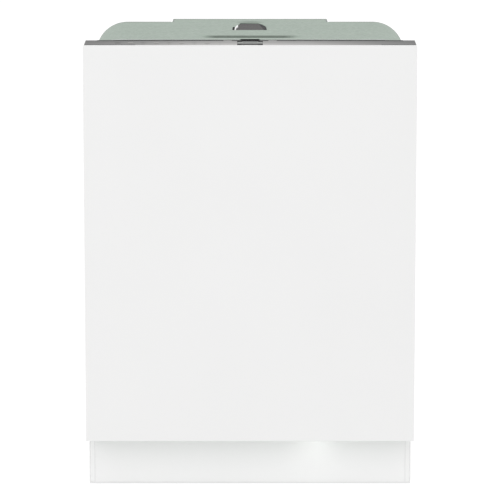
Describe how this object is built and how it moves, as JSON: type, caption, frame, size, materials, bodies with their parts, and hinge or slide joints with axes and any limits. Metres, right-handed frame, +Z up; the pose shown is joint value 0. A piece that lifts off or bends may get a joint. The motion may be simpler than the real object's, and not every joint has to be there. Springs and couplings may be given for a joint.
{
  "type": "built in dishwasher",
  "caption": "Fully integrated dishwasher for a 60 cm niche, with a plain furniture front, recessed plinth, thin console on the door's top edge, racks, spray arms and adjustable feet.",
  "frame": {"origin": "floor level under the middle of the overall width and depth", "axes": "+Z up, +X to the right as seen from the front, front face towards -Y"},
  "size_m": [0.598, 0.569, 0.82],
  "materials": {
    "white_laminate": "satin white laminate",
    "galvanised_steel": "matt galvanised sheet",
    "stainless_steel": "satin stainless steel",
    "silver_console": "brushed silver film",
    "black_plastic": "matt black",
    "grey_plastic": "matt grey",
    "white_plastic": "matt white",
    "blue_plastic": "matt blue",
    "seal_rubber": "matt black rubber",
    "insulation_felt": "bitumen felt",
    "coated_wire": "coated wire",
    "clear_lens": "clear lens"
  },
  "bodies": {
    "housing": {"outer_shell": "galvanised_steel", "top_insulation": "insulation_felt", "rear_insulation": "insulation_felt", "base_tray": "black_plastic", "plinth_board": "white_laminate", "tub_shell": "stainless_steel", "tub_floor": "stainless_steel", "door_seal": "seal_rubber", "sump": "black_plastic", "filter_plate": "stainless_steel", "softener": "white_plastic", "circulation_pump": "black_plastic", "drain_pump": "white_plastic", "inlet_valve": "white_plastic", "drain_outlet": "black_plastic", "power_inlet": "black_plastic", "control_box": "grey_plastic", "water_chamber": "white_plastic", "spray_riser": "grey_plastic", "upper_rail_left": "stainless_steel", "upper_rail_right": "stainless_steel", "tray_rail_left": "stainless_steel", "tray_rail_right": "stainless_steel", "latch_striker": "black_plastic", "hinge_bracket_left": "galvanised_steel", "hinge_bracket_right": "galvanised_steel", "door_spring_left": "stainless_steel", "door_spring_right": "stainless_steel"},
    "door": {"furniture_panel": "white_laminate", "door_frame": "galvanised_steel", "inner_door": "stainless_steel", "floor_beam_lens": "clear_lens", "console": "silver_console", "latch_housing": "grey_plastic", "dispenser_body": "grey_plastic", "hinge_arm_left": "galvanised_steel", "hinge_arm_right": "galvanised_steel"},
    "upper_rack": {"upper_rack": "coated_wire", "feed_tube": "grey_plastic"},
    "lower_rack": {"lower_rack": "coated_wire"},
    "cutlery_tray": {"cutlery_tray": "coated_wire"},
    "lower_spray_arm": {"lower_spray_arm": "grey_plastic"},
    "upper_spray_arm": {"upper_spray_arm": "grey_plastic"},
    "filter_cup": {"filter_cup": "grey_plastic"},
    "salt_cap": {"salt_cap": "grey_plastic"},
    "latch_hook": {"latch_hook": "stainless_steel"},
    "dispenser_lid": {"dispenser_lid": "grey_plastic"},
    "rinse_aid_cap": {"rinse_aid_cap": "blue_plastic"},
    "power_button": {"power_button": "black_plastic"},
    "program_button": {"program_button": "black_plastic"},
    "option_button": {"option_button": "black_plastic"},
    "start_button": {"start_button": "black_plastic"},
    "folding_tines_front": {"folding_tines_front": "coated_wire"},
    "folding_tines_rear": {"folding_tines_rear": "coated_wire"},
    "cup_shelf": {"cup_shelf": "coated_wire"},
    "pull_rod_left": {"pull_rod_left": "galvanised_steel"},
    "pull_rod_right": {"pull_rod_right": "galvanised_steel"},
    "front_foot_left": {"front_foot_left": "black_plastic"},
    "front_foot_right": {"front_foot_right": "black_plastic"},
    "rear_foot": {"rear_foot": "black_plastic"}
  },
  "joints": [
    {"name": "door_hinge", "type": "hinge", "parent": "housing", "child": "door", "pos_m": [0, -0.2345, 0.103], "axis": [1, 0, 0], "range_deg": [0, 90], "stiffness_Nm_per_rad": 34, "springref_deg": -6.88},
    {"name": "upper_rack_slide", "type": "slide", "parent": "housing", "child": "upper_rack", "axis": [0, -1, 0], "range_m": [0, 0.43]},
    {"name": "cutlery_tray_slide", "type": "slide", "parent": "housing", "child": "cutlery_tray", "axis": [0, -1, 0], "range_m": [0, 0.43]},
    {"name": "lower_rack_slide", "type": "slide", "parent": "housing", "child": "lower_rack", "axis": [0, -1, 0], "range_m": [0, 0.1425]},
    {"name": "pull_rod_left_slide", "type": "slide", "parent": "housing", "child": "pull_rod_left", "axis": [0, -1, 0], "range_m": [0, 0.0562], "deforming": ["door_spring_left"]},
    {"name": "pull_rod_right_slide", "type": "slide", "parent": "housing", "child": "pull_rod_right", "axis": [0, -1, 0], "range_m": [0, 0.0562], "deforming": ["door_spring_right"]},
    {"name": "lower_spray_spin", "type": "hinge", "parent": "housing", "child": "lower_spray_arm", "pos_m": [0, 0.0345, 0.155], "axis": [0, 0, 1], "continuous": true},
    {"name": "upper_spray_spin", "type": "hinge", "parent": "upper_rack", "child": "upper_spray_arm", "pos_m": [0, 0.0345, 0.413], "axis": [0, 0, 1], "continuous": true},
    {"name": "filter_cup_twist", "type": "hinge", "parent": "housing", "child": "filter_cup", "pos_m": [0.046, 0.0155, 0.13], "axis": [0, 0, 1], "range_deg": [0, 90]},
    {"name": "salt_cap_twist", "type": "hinge", "parent": "housing", "child": "salt_cap", "pos_m": [-0.165, -0.0445, 0.13], "axis": [0, 0, 1], "range_deg": [0, 180]},
    {"name": "latch_hook_pivot", "type": "hinge", "parent": "door", "child": "latch_hook", "pos_m": [0, -0.2245, 0.8058], "axis": [-1, 0, 0], "range_deg": [0, 6], "stiffness_Nm_per_rad": 0.05, "springref_deg": -8.59},
    {"name": "dispenser_lid_slide", "type": "slide", "parent": "door", "child": "dispenser_lid", "axis": [1, 0, 0], "range_m": [0, 0.068]},
    {"name": "rinse_aid_cap_twist", "type": "hinge", "parent": "door", "child": "rinse_aid_cap", "pos_m": [-0.02, -0.2045, 0.43], "axis": [0, 1, 0], "range_deg": [0, 90]},
    {"name": "power_button_press", "type": "slide", "parent": "door", "child": "power_button", "axis": [0, 0, -1], "range_m": [0, 0.0012], "stiffness_N_per_m": 400, "springref_m": -0.0005},
    {"name": "program_button_press", "type": "slide", "parent": "door", "child": "program_button", "axis": [0, 0, -1], "range_m": [0, 0.0012], "stiffness_N_per_m": 400, "springref_m": -0.0005},
    {"name": "option_button_press", "type": "slide", "parent": "door", "child": "option_button", "axis": [0, 0, -1], "range_m": [0, 0.0012], "stiffness_N_per_m": 400, "springref_m": -0.0005},
    {"name": "start_button_press", "type": "slide", "parent": "door", "child": "start_button", "axis": [0, 0, -1], "range_m": [0, 0.0012], "stiffness_N_per_m": 400, "springref_m": -0.0005},
    {"name": "folding_tines_front_fold", "type": "hinge", "parent": "lower_rack", "child": "folding_tines_front", "pos_m": [0, -0.0295, 0.1801], "axis": [1, 0, 0], "range_deg": [0, 88]},
    {"name": "folding_tines_rear_fold", "type": "hinge", "parent": "lower_rack", "child": "folding_tines_rear", "pos_m": [0, 0.0605, 0.1801], "axis": [1, 0, 0], "range_deg": [0, 88]},
    {"name": "cup_shelf_fold", "type": "hinge", "parent": "upper_rack", "child": "cup_shelf", "pos_m": [-0.235, 0.0305, 0.522], "axis": [0, -1, 0], "range_deg": [0, 80]},
    {"name": "front_foot_left_height", "type": "slide", "parent": "housing", "child": "front_foot_left", "axis": [0, 0, -1], "range_m": [0, 0.05]},
    {"name": "front_foot_right_height", "type": "slide", "parent": "housing", "child": "front_foot_right", "axis": [0, 0, -1], "range_m": [0, 0.05]},
    {"name": "rear_foot_height", "type": "slide", "parent": "housing", "child": "rear_foot", "axis": [0, 0, -1], "range_m": [0, 0.05]}
  ],
  "couplings": [
    {"joint": "upper_rack_slide", "follows": "door_hinge", "m_per_rad": 0.27},
    {"joint": "cutlery_tray_slide", "follows": "door_hinge", "m_per_rad": 0.27},
    {"joint": "lower_rack_slide", "follows": "door_hinge", "m_per_rad": 0.09},
    {"joint": "pull_rod_left_slide", "follows": "door_hinge", "m_per_rad": 0.03565},
    {"joint": "pull_rod_right_slide", "follows": "door_hinge", "m_per_rad": 0.03565}
  ]
}
